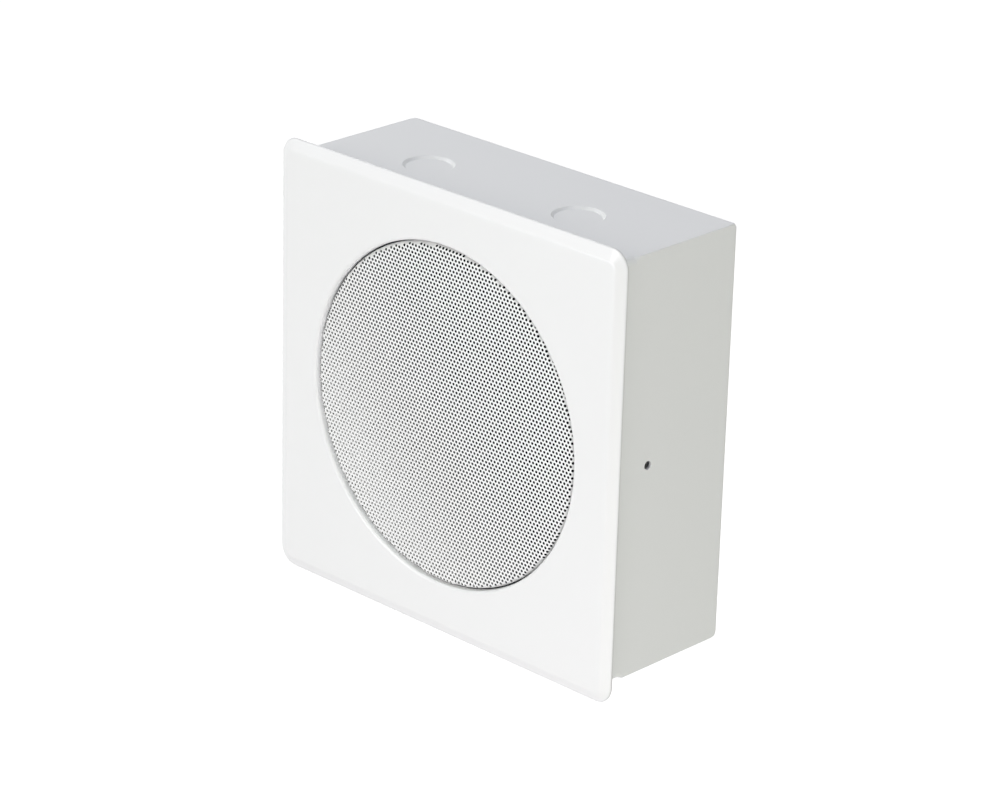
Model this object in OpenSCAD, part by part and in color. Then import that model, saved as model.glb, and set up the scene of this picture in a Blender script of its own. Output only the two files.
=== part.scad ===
// Flush wall loudspeaker in a folded steel back box
//
// The front faces -Y, +X is to the right and +Z is up.
// The origin is the centre of the back of the box, which lies on the wall.
// A square pressed front panel closes the box. A perforated cap, a cloth, a
// gasket and a baffle plate are clamped behind its round opening, and the
// baffle plate carries a paper cone driver. A line transformer and a terminal
// block stand on the back wall.

/* [Back box] */
// Room between the baffle plate and the side faces of the box
side_room = 12; // [10:0.5:30]
// Room between the baffle plate and the top and bottom faces of the box
end_room = 12; // [11:0.5:30]
// Room between the driver and the back wall
back_room = 9.2; // [4:0.1:30]
// Thickness of the box sheet
box_t = 1.2; // [1:0.1:1.6]
// Outside radius of the folds round the back wall
back_fold_r = 3; // [2:0.5:5]
// Outside radius of the folds at the front of the top and the bottom
front_fold_r = 2.2; // [2:0.2:3]
// Width of the return flanges behind the front panel
return_w = 8; // [6:1:8]
// Length of the ground stretch of each welded front corner
ease_l = 7; // [4:1:9]
// Width that the grinding takes off each welded front corner
ease_w = 1.6; // [0.5:0.1:1.8]

/* [Knock-outs] */
// Diameter of a knock-out at the outer surface
knockout_d = 24.4; // [16:0.1:32]
// Diameter of the pressed floor of a knock-out
knockout_floor_d = 19.9; // [12:0.1:15.9]
// Depth of the pressing
knockout_depth = 1.2; // [0.6:0.1:2]
// Distance of each top knock-out from the middle
knockout_x = 46.9; // [25:0.1:60]
// Distance of the top knock-outs from the wall
knockout_y = 46.4; // [30:0.1:50]
// Distance of the rear knock-out from the side face
rear_knockout_edge = 35; // [28:1:42]

/* [Wall fixing] */
// Spacing of the wall screws across
wall_screw_x = 150; // [120:1:160]
// Spacing of the wall screws up and down
wall_screw_z = 150; // [130:1:160]
// Diameter of the wall screw holes
wall_hole_d = 5.5; // [4:0.1:7]

/* [Front panel] */
// How far the panel stands out past the box all round
overhang = 7; // [6:0.5:20]
// Thickness of the panel sheet
panel_t = 1.2; // [1:0.1:1.6]
// Outer radius of the panel corners
panel_r = 9.3; // [7:0.1:16]
// Width of the bevelled edge seen from the front
bevel_w = 5.3; // [3:0.1:6]
// Depth of the bevelled edge
bevel_d = 2.6; // [1.5:0.1:3]
// Diameter of the round opening
opening_d = 165; // [150:1:170]
// Radius of the rolled edge of the opening
lip_r = 2.4; // [2:0.1:4]
// Depth of the collar behind the opening from the face
collar_d = 6; // [5:0.1:8]

/* [Grille] */
// Thickness of the perforated sheet
grille_t = 0.8; // [0.6:0.1:1]
// Gap all round between the cap and the collar
grille_gap = 0.9; // [0.3:0.1:1.5]
// Distance of the cap face behind the panel face
grille_recess = 0.9; // [0.5:0.1:2]
// Outside radius of the cap edge
grille_edge_r = 2.6; // [1.8:0.1:3.4]
// Width of the flat rim of the cap behind the collar
grille_rim_w = 4.5; // [3:0.1:6]
// Hole spacing of the perforation
hole_pitch = 8.2; // [8:0.1:14]
// Hole diameter of the perforation
hole_d = 4.7; // [2:0.1:5.5]
// Turn of the hole rows from level
hole_turn = -1.1; // [-15:0.1:15]

/* [Clamped stack] */
// Thickness of the cloth behind the grille
cloth_t = 0.5; // [0.3:0.1:1]
// Thickness of the foam gasket
gasket_t = 2; // [1:0.1:3]
// Thickness of the baffle plate
baffle_t = 1.5; // [1.2:0.1:2]
// How far the baffle plate stands out past the driver frame
baffle_edge = 6; // [5:0.5:12]
// Corner radius of the baffle plate
baffle_r = 8; // [4:1:12]
// Diameter of the driver cut-out in the baffle plate
cutout_d = 148; // [146:0.5:150]
// Diameter of the welded studs and of the box studs
stud_d = 4; // [3:1:5]
// Distance of each panel stud from the edges of the baffle plate
stud_edge = 12; // [9:0.5:14]
// Length that a stud stands out of its nut
stud_tail = 2; // [1:0.5:4]
// Outside diameter of the spacer sleeves
sleeve_d = 8; // [7:0.5:10]

/* [Driver] */
// Outside diameter of the driver frame
frame_d = 166; // [164:0.5:170]
// Thickness of the frame sheet
frame_t = 1; // [0.8:0.1:1.4]
// Depth from the frame flange to the motor
frame_depth = 34; // [32:0.5:36]
// Outside diameter of the spider seat in the frame
spider_d = 92; // [84:1:96]
// Depth from the frame flange to the spider seat
spider_depth = 26; // [25:0.5:27]
// Number of windows in the frame
window_n = 6; // [4:1:8]
// Diameter of the circle of driver screws
driver_pcd = 156; // [155:0.5:158]
// Thickness of the front gasket of the driver
driver_gasket_t = 3; // [2.5:0.1:4]
// Radius of the half roll of the surround
roll_r = 4.6; // [3:0.1:5]
// Diameter of the middle of the half roll
roll_d = 131; // [128:0.5:133]
// Thickness of the surround
surround_t = 0.6; // [0.4:0.1:0.8]
// Thickness of the paper cone
cone_t = 0.8; // [0.5:0.1:1]
// Diameter of the dust cap
cap_d = 39; // [32:1:46]
// Height of the dust cap
cap_h = 6; // [4:0.5:9]
// Thickness of the dust cap
cap_t = 0.5; // [0.3:0.1:0.8]
// Inside diameter of the voice coil former
coil_d = 25; // [24:0.1:26]
// Thickness of the former
former_t = 0.25; // [0.2:0.05:0.4]
// Thickness of the winding
winding_t = 0.5; // [0.3:0.1:0.7]
// Length of the winding
winding_l = 9; // [7:0.5:11]
// Running gap on each side of the voice coil
coil_gap = 0.35; // [0.3:0.05:0.6]
// Thickness of the spider cloth
spider_t = 0.4; // [0.3:0.1:0.6]
// Height of the waves of the spider
spider_wave = 1; // [0.5:0.1:1.4]
// Number of waves of the spider
spider_waves = 5; // [3:1:7]

/* [Motor] */
// Diameter of the magnet
magnet_d = 80; // [76:1:90]
// Thickness of the magnet
magnet_t = 15; // [12:0.5:17]
// Inside diameter of the magnet
magnet_bore = 40; // [36:1:44]
// Diameter of the front plate and the back plate
plate_d = 75; // [72:1:76]
// Thickness of the front plate and the back plate
plate_t = 5; // [4:0.5:6]

/* [Side brackets] */
// Thickness of a bracket
bracket_t = 1.2; // [1:0.1:2]
// Height of a bracket
bracket_h = 24; // [18:1:40]
// Width of the foot that is welded to the panel
bracket_foot = 9; // [8:0.5:10]
// Distance of the side screws behind the front of the box
side_screw_y = 27.6; // [22:0.1:34]
// Diameter of the side screw holes
side_hole_d = 4.2; // [3.2:0.1:5.2]
// Assembly gap between a bracket and the box wall
bracket_gap = 0.2; // [0.1:0.1:0.5]
// Thread core diameter of the clinch nuts
nut_core_d = 3.3; // [2.5:0.1:3.4]

/* [Line transformer] */
// Width of the iron core
core_w = 42; // [36:1:48]
// Height of the core off the back wall
core_h = 35; // [30:1:38]
// Thickness of the iron stack
core_t = 15; // [12:1:20]
// Width of the outer limbs of the core
limb_w = 7; // [6:0.5:8]
// How far the winding stands out of the stack on each side
winding_out = 6; // [4:0.5:8]
// Thickness of the clamp strap
strap_t = 1; // [0.8:0.1:1.2]
// Width of each foot of the strap
strap_foot = 10; // [10:0.5:12]
// Distance of the transformer from the bottom face
transformer_edge = 25; // [22:0.5:27]

/* [Terminal block] */
// Width of the terminal block
block_w = 36; // [32:1:44]
// Height of the terminal block
block_h = 18; // [16:1:20]
// Depth of the terminal block off the back wall
block_d = 18; // [16:1:20]
// Distance of the block from the top face
block_edge = 21; // [17:1:25]
// Number of poles
pole_n = 4; // [4:2:4]
// Diameter of the brass clamps
clamp_d = 5; // [4:0.5:6]
// Diameter of the clamp screws
clamp_screw_d = 2.5; // [2:0.1:3]

/* [Leads] */
// Diameter of the insulated leads
lead_d = 1.8; // [1.4:0.1:2.2]

/* [Hidden] */
$fn = 96;
// Steps in a quarter turn of a folded or rounded corner
steps = 6;
// Overrun of a cutting shape past the surface that it cuts
over = 1;

// Sizes that follow from the driver: baffle plate, box and front panel
baffle_w = frame_d + 2 * baffle_edge;
stud_pos = baffle_w / 2 - stud_edge;
box_w = baffle_w + 2 * side_room;
box_h = baffle_w + 2 * end_room;
panel_w = box_w + 2 * overhang;
panel_h = box_h + 2 * overhang;
stack_d = grille_t + cloth_t + gasket_t + baffle_t + driver_gasket_t;
driver_d = frame_depth + 2 * plate_t + magnet_t;
box_d = collar_d - panel_t + stack_d + driver_d + back_room + box_t;

// Depth positions along Y, from the wall to the front
wall_in = -box_t;
front_in = -box_d;
face_y = front_in - panel_t;
rim_y = face_y + bevel_d;
collar_y = face_y + collar_d;
cloth_y = collar_y + grille_t;
gasket_y = cloth_y + cloth_t;
baffle_y = gasket_y + gasket_t;
baffle_back = baffle_y + baffle_t;
flange_y = baffle_back + driver_gasket_t;

// Slope of the bevel and the square cut edge of its sheet
bevel_angle = atan(bevel_d / bevel_w);
edge_in = panel_t * sin(bevel_angle);
edge_back = panel_t * cos(bevel_angle);
crease_in = (panel_t / cos(bevel_angle) - panel_t) * bevel_w / bevel_d;

// Round opening, cap and clamped rim
opening_r = opening_d / 2;
cap_r = opening_r - grille_gap;
grille_y = face_y + grille_recess;
rim_r = opening_r + grille_rim_w;
flat_r = cap_r - grille_edge_r;

// Nuts and the holes of studs
nut_h = 0.8 * stud_d;
nut_r = 0.875 * stud_d / cos(30);
thread_gap = 0.05;
stud_gap = 0.25;
washer_r = 1.2 * stud_d;
washer_t = 0.8;

// Driver outline, as radii and as depths behind its flange
head_r = 0.9 * stud_d;
head_h = 0.6 * stud_d;
frame_r = frame_d / 2;
lip_out = driver_pcd / 2 - head_r - frame_t - 0.4;
lip_w = 4;
roll_c = roll_d / 2;
lip_in = roll_c - roll_r - lip_w;
spider_r = spider_d / 2;
spider_seat = 11;
former_in = coil_d / 2;
former_out = former_in + former_t;
winding_r = former_out + winding_t;
cone_depth = spider_depth - 2.5;
glue_t = 0.05;
gap_mid = frame_depth + plate_t / 2;
magnet_front = frame_depth + plate_t;
yoke_front = magnet_front + magnet_t;
seat_r = 20;
window_front = 7;
window_back = spider_depth - 5;
spoke_angle = 18;

// Terminal board on the back of the spider seat
board_w = 24;
board_h = 13;
board_t = 1.5;
board_top = spider_r - spider_seat + frame_t + 1;
tag_w = 5;
tag_l = 14;
tag_t = 0.8;
tag_x = 7;
tag_z = -board_top - 6;
tag_y = flange_y + spider_depth + frame_t + board_t;

// Side screws through the box and the panel brackets
bracket_x = box_w / 2 - box_t - bracket_gap - bracket_t;
bracket_l = side_screw_y + 8;
side_y = front_in + side_screw_y;
clinch_r = side_hole_d / 2 + 1.6;
clinch_h = 3;

// Line transformer
transformer_z = box_h / 2 - transformer_edge;
window_w = (core_w - 4 * limb_w) / 2;
coil_fit = 0.3;
winding_half = core_t / 2 + winding_out;
strap_z = 0.8 * core_t;
foot_x = core_w / 2 + strap_t + strap_foot / 2;

// Terminal block and its poles, and the earth stud below the rear knock-out
block_z = box_h / 2 - block_edge;
rear_knockout_x = box_w / 2 - rear_knockout_edge;
saddle_w = 10;
saddle_t = 6;
pole_pitch = (block_w - saddle_w) / pole_n;
clamp_y = wall_in - 0.45 * block_d;
clamp_l = block_h - 4;
clamp_bore = 2.8;
block_screw_h = 4;
earth_x = rear_knockout_x;
earth_z = -46;

// Routes of the leads, through points that were chosen by hand
lead_gap = 3.4;
winding_top = winding_half - transformer_z;
winding_y = wall_in - core_h / 2;
block_low = block_z - block_h / 2;
lead_steps = 4;

function pole_x(i) =
    let (side = i < pole_n / 2 ? -1 : 1, k = i < pole_n / 2 ? i : i - pole_n / 2)
    side * (saddle_w / 2 + pole_pitch * (k + 0.5));

function corner_points(w, h, r) =
    [for (q = [0:3]) for (i = [0:steps])
        let (a = 90 * (q + i / steps), sx = q == 0 || q == 3 ? 1 : -1, sy = q < 2 ? 1 : -1)
        [sx * (w / 2 - r) + r * cos(a), sy * (h / 2 - r) + r * sin(a)]];

function quarter(c, r, from) =
    [for (i = [0:steps]) c + r * [cos(from + 90 * i / steps), sin(from + 90 * i / steps)]];

// Closed outline of a sheet that follows the given points
function sheet(points, t) =
    let (n = len(points) - 1)
    concat(points, [for (i = [n:-1:0]) points[i] + [i == 0 || i == n ? 0 : t, t]]);

function cone_d(r) =
    surround_t + (cone_depth - surround_t) * pow((lip_in - r) / (lip_in - former_out), 1.15);

// Arc from the middle of a dome to its edge, r wide and h high
function dome(r, h, top) =
    let (ball = (r * r + h * h) / (2 * h))
    [for (i = [0:8]) [ball * sin(i / 8 * asin(r / ball)), top + ball - ball * cos(i / 8 * asin(r / ball))]];

// Point of a smooth curve between p[1] and p[2]
function smooth(p, t) =
    0.5 * (2 * p[1] + (p[2] - p[0]) * t + (2 * p[0] - 5 * p[1] + 4 * p[2] - p[3]) * t * t
        + (3 * p[1] - p[0] - 3 * p[2] + p[3]) * t * t * t);

function route(points) =
    let (n = len(points) - 1)
    concat([for (i = [0:n - 1]) for (j = [0:lead_steps - 1])
        smooth([points[max(i - 1, 0)], points[i], points[i + 1], points[min(i + 2, n)]],
            j / lead_steps)], [points[n]]);

function unit(v) = v / norm(v);

// Outline around the Y axis, given as radius and depth
module spun(points) {
    rotate([-90, 0, 0]) rotate_extrude() polygon(points);
}

// Round bar along Y from y, l long
module bar(r, y, l) {
    translate([0, y, 0]) rotate([-90, 0, 0]) cylinder(r = r, h = l);
}

// Flat plate in the XZ plane from y, t thick
module plate(y, t) {
    translate([0, y + t, 0]) rotate([90, 0, 0]) linear_extrude(t) children();
}

module corners(x, z) {
    for (sx = [-1, 1]) for (sz = [-1, 1]) translate([sx * x, 0, sz * z]) children();
}

module hex_nut(y) {
    translate([0, y, 0]) rotate([-90, 0, 0]) difference() {
        cylinder(r = nut_r, h = nut_h, $fn = 6);
        translate([0, 0, -over]) cylinder(r = stud_d / 2 + thread_gap, h = nut_h + 2 * over);
    }
}

// Block between two corners
module block(low, high) {
    translate(low) cube(high - low);
}

// Round wire along a route, with eight sides
module wire(points) {
    path = route(points);
    n = len(path) - 1;
    last = len(points) - 1;
    sides = 8;
    rings = [for (i = [0:n])
        let (dir = unit(i == 0 ? points[1] - points[0] : i == n ? points[last] - points[last - 1]
                : path[i + 1] - path[i - 1]),
            u = unit(cross(dir, [0.3, 1, 0.2])), v = cross(dir, u))
        for (k = [0:sides - 1]) path[i] + lead_d / 2 * (cos(45 * k) * u + sin(45 * k) * v)];
    sides_faces = [for (i = [0:n - 1]) for (k = [0:sides - 1])
        let (a = i * sides + k, b = i * sides + (k + 1) % sides)
        [a, b, b + sides, a + sides]];
    ends = [[for (k = [sides - 1:-1:0]) k], [for (k = [0:sides - 1]) n * sides + k]];
    polyhedron(rings, concat(sides_faces, ends));
}

// Outside of the folded box: t is how far inside the outer skin it lies
module box_form(t, front) {
    back_r = back_fold_r - t;
    front_r = front_fold_r - t;
    z = box_h / 2 - t;
    x = box_w / 2 - t;
    intersection() {
        rotate([90, 0, 90]) translate([0, 0, -box_w / 2]) linear_extrude(box_w)
            polygon(concat(
                quarter([-t - back_r, z - back_r], back_r, 0),
                quarter([front + front_r, z - front_r], front_r, 90),
                quarter([front + front_r, front_r - z], front_r, 180),
                quarter([-t - back_r, back_r - z], back_r, 270)));
        translate([0, 0, -box_h / 2]) linear_extrude(box_h)
            polygon(concat(
                quarter([x - back_r, -t - back_r], back_r, 0),
                quarter([back_r - x, -t - back_r], back_r, 90),
                [[-x, front - over], [x, front - over]]));
    }
}

// Knock-out pressed into a wall that faces +Z, at the outer surface
module knockout_dish() {
    translate([0, 0, -knockout_depth])
        cylinder(d1 = knockout_floor_d, d2 = knockout_d, h = knockout_depth);
    cylinder(d = knockout_d, h = over);
}

module knockout_back() {
    translate([0, 0, -box_t - knockout_depth])
        cylinder(d1 = knockout_floor_d, d2 = knockout_d, h = knockout_depth);
}

module knockout_places() {
    for (sx = [-1, 1]) translate([sx * knockout_x, -knockout_y, box_h / 2]) children();
    translate([rear_knockout_x, 0, 0]) rotate([-90, 0, 0]) children();
}

module back_box() {
    color("gainsboro") difference() {
        union() {
            difference() {
                box_form(0, front_in);
                box_form(box_t, front_in + box_t);
                block([box_t - box_w / 2, front_in - over, return_w - box_h / 2],
                    [box_w / 2 - box_t, front_in + front_fold_r, box_h / 2 - return_w]);
            }
            knockout_places() knockout_back();
        }
        knockout_places() knockout_dish();
        corners(wall_screw_x / 2, wall_screw_z / 2) bar(wall_hole_d / 2, -box_t - over, box_t + 2 * over);
        for (side = [-1, 1]) translate([side * (box_w / 2 - box_t / 2), side_y, 0])
            rotate([0, 90, 0]) cylinder(d = side_hole_d, h = box_t + 2 * over, center = true);
        for (sx = [-1, 1]) for (sz = [-1, 1])
            translate([sx * box_w / 2, front_in - over, sz * box_h / 2]) rotate([0, 45, 0])
                translate([-ease_w / sqrt(2), 0, -ease_w / sqrt(2)])
                    cube([ease_w * sqrt(2), ease_l + over, ease_w * sqrt(2)]);
    }
}

// Four cones at the panel corners between two depths
module panel_corners(y0, inset0, y1, inset1) {
    corners(panel_w / 2 - panel_r, panel_h / 2 - panel_r) translate([0, y0, 0])
        rotate([-90, 0, 0])
            cylinder(r1 = panel_r - inset0, r2 = panel_r - inset1, h = y1 - y0, $fn = 64);
}

module front_panel() {
    rim_back = rim_y + edge_back;
    bend_r = lip_r - panel_t;
    color("white") {
        difference() {
            hull() {
                panel_corners(face_y, bevel_w, rim_y, 0);
                panel_corners(rim_y, 0, rim_back, edge_in);
            }
            hull() panel_corners(front_in, bevel_w + crease_in, rim_back + over,
                edge_in - over * bevel_w / bevel_d);
            bar(opening_r + lip_r, face_y - over, panel_t + 2 * over);
        }
        spun(concat(
            quarter([opening_r + lip_r, face_y + lip_r], lip_r, 180),
            [[opening_r + lip_r + over, face_y], [opening_r + lip_r + over, front_in]],
            [for (i = [steps:-1:0]) quarter([opening_r + lip_r, face_y + lip_r], bend_r, 180)[i]],
            [[opening_r + panel_t, collar_y], [opening_r, collar_y]]));
    }
}

module panel_studs() {
    color("silver") corners(stud_pos, stud_pos)
        bar(stud_d / 2, front_in, baffle_back + washer_t + nut_h + stud_tail - front_in);
}

// Bracket on the right, mirrored for the left
module bracket() {
    color("silver") difference() {
        union() {
            block([bracket_x, front_in, -bracket_h / 2],
                [bracket_x + bracket_t, front_in + bracket_l, bracket_h / 2]);
            block([bracket_x + bracket_t - bracket_foot, front_in, -bracket_h / 2],
                [bracket_x + bracket_t, front_in + bracket_t, bracket_h / 2]);
        }
        translate([bracket_x - over, side_y, 0]) rotate([0, 90, 0])
            cylinder(d = side_hole_d, h = bracket_t + 2 * over);
    }
}

module bracket_right() {
    bracket();
}

module bracket_left() {
    mirror([1, 0, 0]) bracket();
}

module clinch_nuts() {
    color("silver") for (side = [0, 1]) mirror([side, 0, 0])
        translate([bracket_x - clinch_h, side_y, 0]) rotate([0, 90, 0]) difference() {
            cylinder(r = clinch_r, h = clinch_h);
            translate([0, 0, -over]) cylinder(d = nut_core_d, h = clinch_h + 2 * over);
        }
}

// Perforated cap with a rounded edge and a flat rim behind the collar
module grille() {
    bend_r = grille_edge_r - grille_t;
    bend_c = [flat_r, grille_y + grille_edge_r];
    hole_r = flat_r - hole_d / 2 - grille_t;
    row_h = hole_pitch * sqrt(3) / 2;
    rows = floor(hole_r / row_h);
    color("whitesmoke") {
        plate(grille_y, grille_t) difference() {
            circle(r = flat_r);
            rotate(hole_turn) for (j = [-rows:rows]) {
                shift = j % 2 == 0 ? 0 : hole_pitch / 2;
                reach = sqrt(hole_r * hole_r - j * row_h * j * row_h);
                for (i = [-ceil(reach / hole_pitch):ceil(reach / hole_pitch)])
                    if (norm([i * hole_pitch + shift, j * row_h]) <= hole_r)
                        translate([i * hole_pitch + shift, j * row_h]) circle(d = hole_d, $fn = 8);
            }
        }
        spun(concat(
            [for (i = [steps:-1:0]) bend_c + grille_edge_r * [sin(90 * i / steps), -cos(90 * i / steps)]],
            [[flat_r, grille_y + grille_t]],
            [for (i = [0:steps]) bend_c + bend_r * [sin(90 * i / steps), -cos(90 * i / steps)]],
            [[cap_r - grille_t, collar_y + grille_t], [rim_r, collar_y + grille_t]],
            [[rim_r, collar_y], [cap_r, collar_y]]));
    }
}

module grille_cloth() {
    color("black") bar(rim_r, cloth_y, cloth_t);
}

module foam_gasket() {
    color("dimgray") plate(gasket_y, gasket_t) difference() {
        circle(r = rim_r);
        circle(d = cutout_d);
    }
}

module spacer_sleeves() {
    color("silver") corners(stud_pos, stud_pos) plate(front_in, baffle_y - front_in) difference() {
        circle(d = sleeve_d);
        circle(r = stud_d / 2 + stud_gap);
    }
}

module screw_circle() {
    for (a = [45:90:315]) rotate([0, a, 0]) translate([driver_pcd / 2, 0, 0]) children();
}

module baffle_plate() {
    color("lightgray") difference() {
        plate(baffle_y, baffle_t) difference() {
            polygon(corner_points(baffle_w, baffle_w, baffle_r));
            circle(d = cutout_d);
        }
        corners(stud_pos, stud_pos) bar(stud_d / 2 + stud_gap, baffle_y - over, baffle_t + 2 * over);
        screw_circle() bar(stud_d / 2 + thread_gap, baffle_y - over, baffle_t + 2 * over);
    }
}

module stud_washers() {
    color("silver") corners(stud_pos, stud_pos) plate(baffle_back, washer_t) difference() {
        circle(r = washer_r);
        circle(r = stud_d / 2 + stud_gap);
    }
}

module stud_nuts() {
    color("silver") corners(stud_pos, stud_pos) hex_nut(baffle_back + washer_t);
}

module driver_gasket() {
    color("dimgray") difference() {
        plate(baffle_back, driver_gasket_t) difference() {
            circle(r = frame_r);
            circle(r = roll_c + roll_r + 0.5);
        }
        screw_circle() bar(stud_d / 2 + stud_gap, baffle_back - over, driver_gasket_t + 2 * over);
    }
}

module driver_frame() {
    color("darkslategray") difference() {
        translate([0, flange_y, 0]) spun(sheet([
            [frame_r, 0],
            [lip_out, 0],
            [lip_out, surround_t],
            [roll_c + roll_r - 1, surround_t],
            [spider_r + 3, spider_depth - 3],
            [spider_r + 1, spider_depth],
            [spider_r - spider_seat, spider_depth],
            [spider_r - spider_seat - 2, frame_depth - frame_t],
            [seat_r, frame_depth - frame_t]], frame_t));
        translate([0, flange_y, 0]) rotate([-90, 0, 0]) for (i = [0:window_n - 1])
            rotate(360 * i / window_n + spoke_angle / 2)
                rotate_extrude(angle = 360 / window_n - spoke_angle)
                    polygon([[spider_r - 1, window_front], [frame_r, window_front],
                        [frame_r, window_back], [spider_r - 1, window_back]]);
        screw_circle() bar(stud_d / 2 + stud_gap, flange_y - over, frame_t + 2 * over);
    }
}

module driver_screws() {
    color("silver") screw_circle() {
        bar(stud_d / 2, baffle_y, flange_y + frame_t - baffle_y);
        bar(head_r, flange_y + frame_t, head_h);
    }
}

module surround() {
    in_r = roll_r - surround_t;
    a0 = asin(surround_t / roll_r);
    n = 10;
    color("black") translate([0, flange_y, 0]) spun(concat(
        [[lip_out, 0]],
        [for (i = [0:n]) let (a = a0 + (180 - 2 * a0) * i / n)
            [roll_c + roll_r * cos(a), surround_t - roll_r * sin(a)]],
        [[lip_in, 0], [lip_in, surround_t]],
        [for (i = [n:-1:0]) [roll_c + in_r * cos(180 * i / n), surround_t - in_r * sin(180 * i / n)]],
        [[lip_out, surround_t]]));
}

module cone() {
    n = 8;
    front = [for (i = [0:n]) let (r = lip_in + (former_out - lip_in) * i / n) [r, cone_d(r)]];
    color("#222222") translate([0, flange_y, 0]) spun(concat(
        [[lip_in + lip_w, surround_t]], front,
        [for (i = [n:-1:0]) front[i] + [0, cone_t]],
        [[lip_in + lip_w, surround_t + cone_t]]));
}

module dust_cap() {
    out_r = cap_d / 2;
    in_r = out_r - cap_t;
    top = cone_d(out_r) - cap_h;
    color("#333333") translate([0, flange_y - glue_t, 0]) spun(concat(
        dome(out_r, cap_h, top),
        [for (i = [8:-1:0]) dome(in_r, cone_d(in_r) - top - cap_t, top + cap_t)[i]]));
}

module spider() {
    r0 = former_out + 1.5;
    r1 = spider_r - spider_seat;
    n = 6 * spider_waves;
    front = concat([[former_out, spider_depth - spider_t]],
        [for (i = [0:n]) [r0 + (r1 - r0) * i / n,
            spider_depth - spider_t - spider_wave / 2 * (1 - cos(360 * spider_waves * i / n))]],
        [[spider_r, spider_depth - spider_t]]);
    color("goldenrod") translate([0, flange_y, 0])
        spun(concat(front, [for (i = [len(front) - 1:-1:0]) front[i] + [0, spider_t]]));
}

module coil_former() {
    top = flange_y + cone_depth - 2;
    color("peru") plate(top, flange_y + gap_mid + winding_l / 2 + 1 - top) difference() {
        circle(r = former_out);
        circle(r = former_in);
    }
}

module coil_winding() {
    color("chocolate") plate(flange_y + gap_mid - winding_l / 2, winding_l) difference() {
        circle(r = winding_r);
        circle(r = former_out);
    }
}

module front_plate() {
    color("silver") plate(flange_y + frame_depth, plate_t) difference() {
        circle(d = plate_d);
        circle(r = winding_r + coil_gap);
    }
}

module magnet() {
    color("#2b2b2e") plate(flange_y + magnet_front, magnet_t) difference() {
        circle(d = magnet_d);
        circle(d = magnet_bore);
    }
}

module pole_yoke() {
    color("silver") translate([0, flange_y, 0]) spun([
        [0, frame_depth], [former_in - coil_gap, frame_depth],
        [former_in - coil_gap, yoke_front], [plate_d / 2, yoke_front],
        [plate_d / 2, yoke_front + plate_t - 1], [plate_d / 2 - 1, yoke_front + plate_t],
        [0, yoke_front + plate_t]]);
}

module terminal_board() {
    color("saddlebrown") translate([0, tag_y - board_t, -board_top - board_h])
        translate([-board_w / 2, 0, 0]) cube([board_w, board_t, board_h]);
}

module terminal_tags() {
    color("gold") for (side = [-1, 1])
        block([side * tag_x - tag_w / 2, tag_y, tag_z - tag_l],
            [side * tag_x + tag_w / 2, tag_y + tag_t, tag_z]);
}

module box_studs() {
    color("silver") {
        for (side = [-1, 1]) translate([side * foot_x, 0, -transformer_z])
            bar(stud_d / 2, wall_in - strap_t - nut_h - stud_tail, strap_t + nut_h + stud_tail);
        translate([0, 0, block_z])
            bar(stud_d / 2, wall_in - saddle_t - nut_h - stud_tail, saddle_t + nut_h + stud_tail);
        translate([earth_x, 0, earth_z])
            bar(stud_d / 2, wall_in - 2 * nut_h - washer_t - stud_tail,
                2 * nut_h + washer_t + stud_tail);
    }
}

module transformer_core() {
    color("#4a4a4e") translate([0, 0, -transformer_z]) difference() {
        block([-core_w / 2, wall_in - core_h, -core_t / 2], [core_w / 2, wall_in, core_t / 2]);
        for (side = [-1, 1])
            block([side * (limb_w + window_w / 2) - window_w / 2, wall_in - core_h + limb_w, -core_t],
                [side * (limb_w + window_w / 2) + window_w / 2, wall_in - limb_w, core_t]);
    }
}

module transformer_winding() {
    x = limb_w + window_w - coil_fit;
    color("gold") translate([0, wall_in - core_h / 2, -transformer_z]) difference() {
        rotate([90, 0, 0]) linear_extrude(core_h - 2 * limb_w - 2 * coil_fit, center = true)
            polygon(corner_points(2 * x, 2 * winding_half, 3));
        cube([2 * (limb_w + coil_fit), core_h, core_t + 2 * coil_fit], center = true);
    }
}

module transformer_strap() {
    x = core_w / 2 + strap_t;
    color("silver") translate([0, 0, -transformer_z]) difference() {
        union() {
            block([-x, wall_in - core_h - strap_t, -strap_z / 2], [x, wall_in, strap_z / 2]);
            block([-x - strap_foot, wall_in - strap_t, -strap_z / 2],
                [x + strap_foot, wall_in, strap_z / 2]);
        }
        block([-core_w / 2, wall_in - core_h, -core_t], [core_w / 2, wall_in + over, core_t]);
        for (side = [-1, 1]) translate([side * foot_x, 0, 0])
            bar(stud_d / 2 + stud_gap, wall_in - strap_t - over, strap_t + 2 * over);
    }
}

module transformer_nuts() {
    color("silver") for (side = [-1, 1]) translate([side * foot_x, 0, -transformer_z])
        hex_nut(wall_in - strap_t - nut_h);
}

module terminal_block() {
    color("ivory") translate([0, 0, block_z]) difference() {
        block([-block_w / 2, wall_in - block_d, -block_h / 2], [block_w / 2, wall_in, block_h / 2]);
        block([-saddle_w / 2, wall_in - block_d - over, -block_h],
            [saddle_w / 2, wall_in - saddle_t, block_h]);
        bar(stud_d / 2 + stud_gap, wall_in - saddle_t - over, saddle_t + 2 * over);
        for (i = [0:pole_n - 1]) translate([pole_x(i), 0, 0]) {
            translate([0, clamp_y, 0])
                cylinder(d = clamp_d + 2 * thread_gap, h = block_h + 2 * over, center = true);
            bar(clamp_screw_d / 2 + stud_gap, wall_in - block_d - over, clamp_y - wall_in + block_d + over);
        }
    }
}

module block_clamps() {
    color("gold") translate([0, clamp_y, block_z]) for (i = [0:pole_n - 1])
        translate([pole_x(i), 0, 0]) difference() {
            cylinder(d = clamp_d, h = clamp_l, center = true);
            cylinder(d = clamp_bore, h = block_h, center = true);
            bar(clamp_screw_d / 2 + thread_gap, -clamp_d, clamp_d);
        }
}

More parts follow.
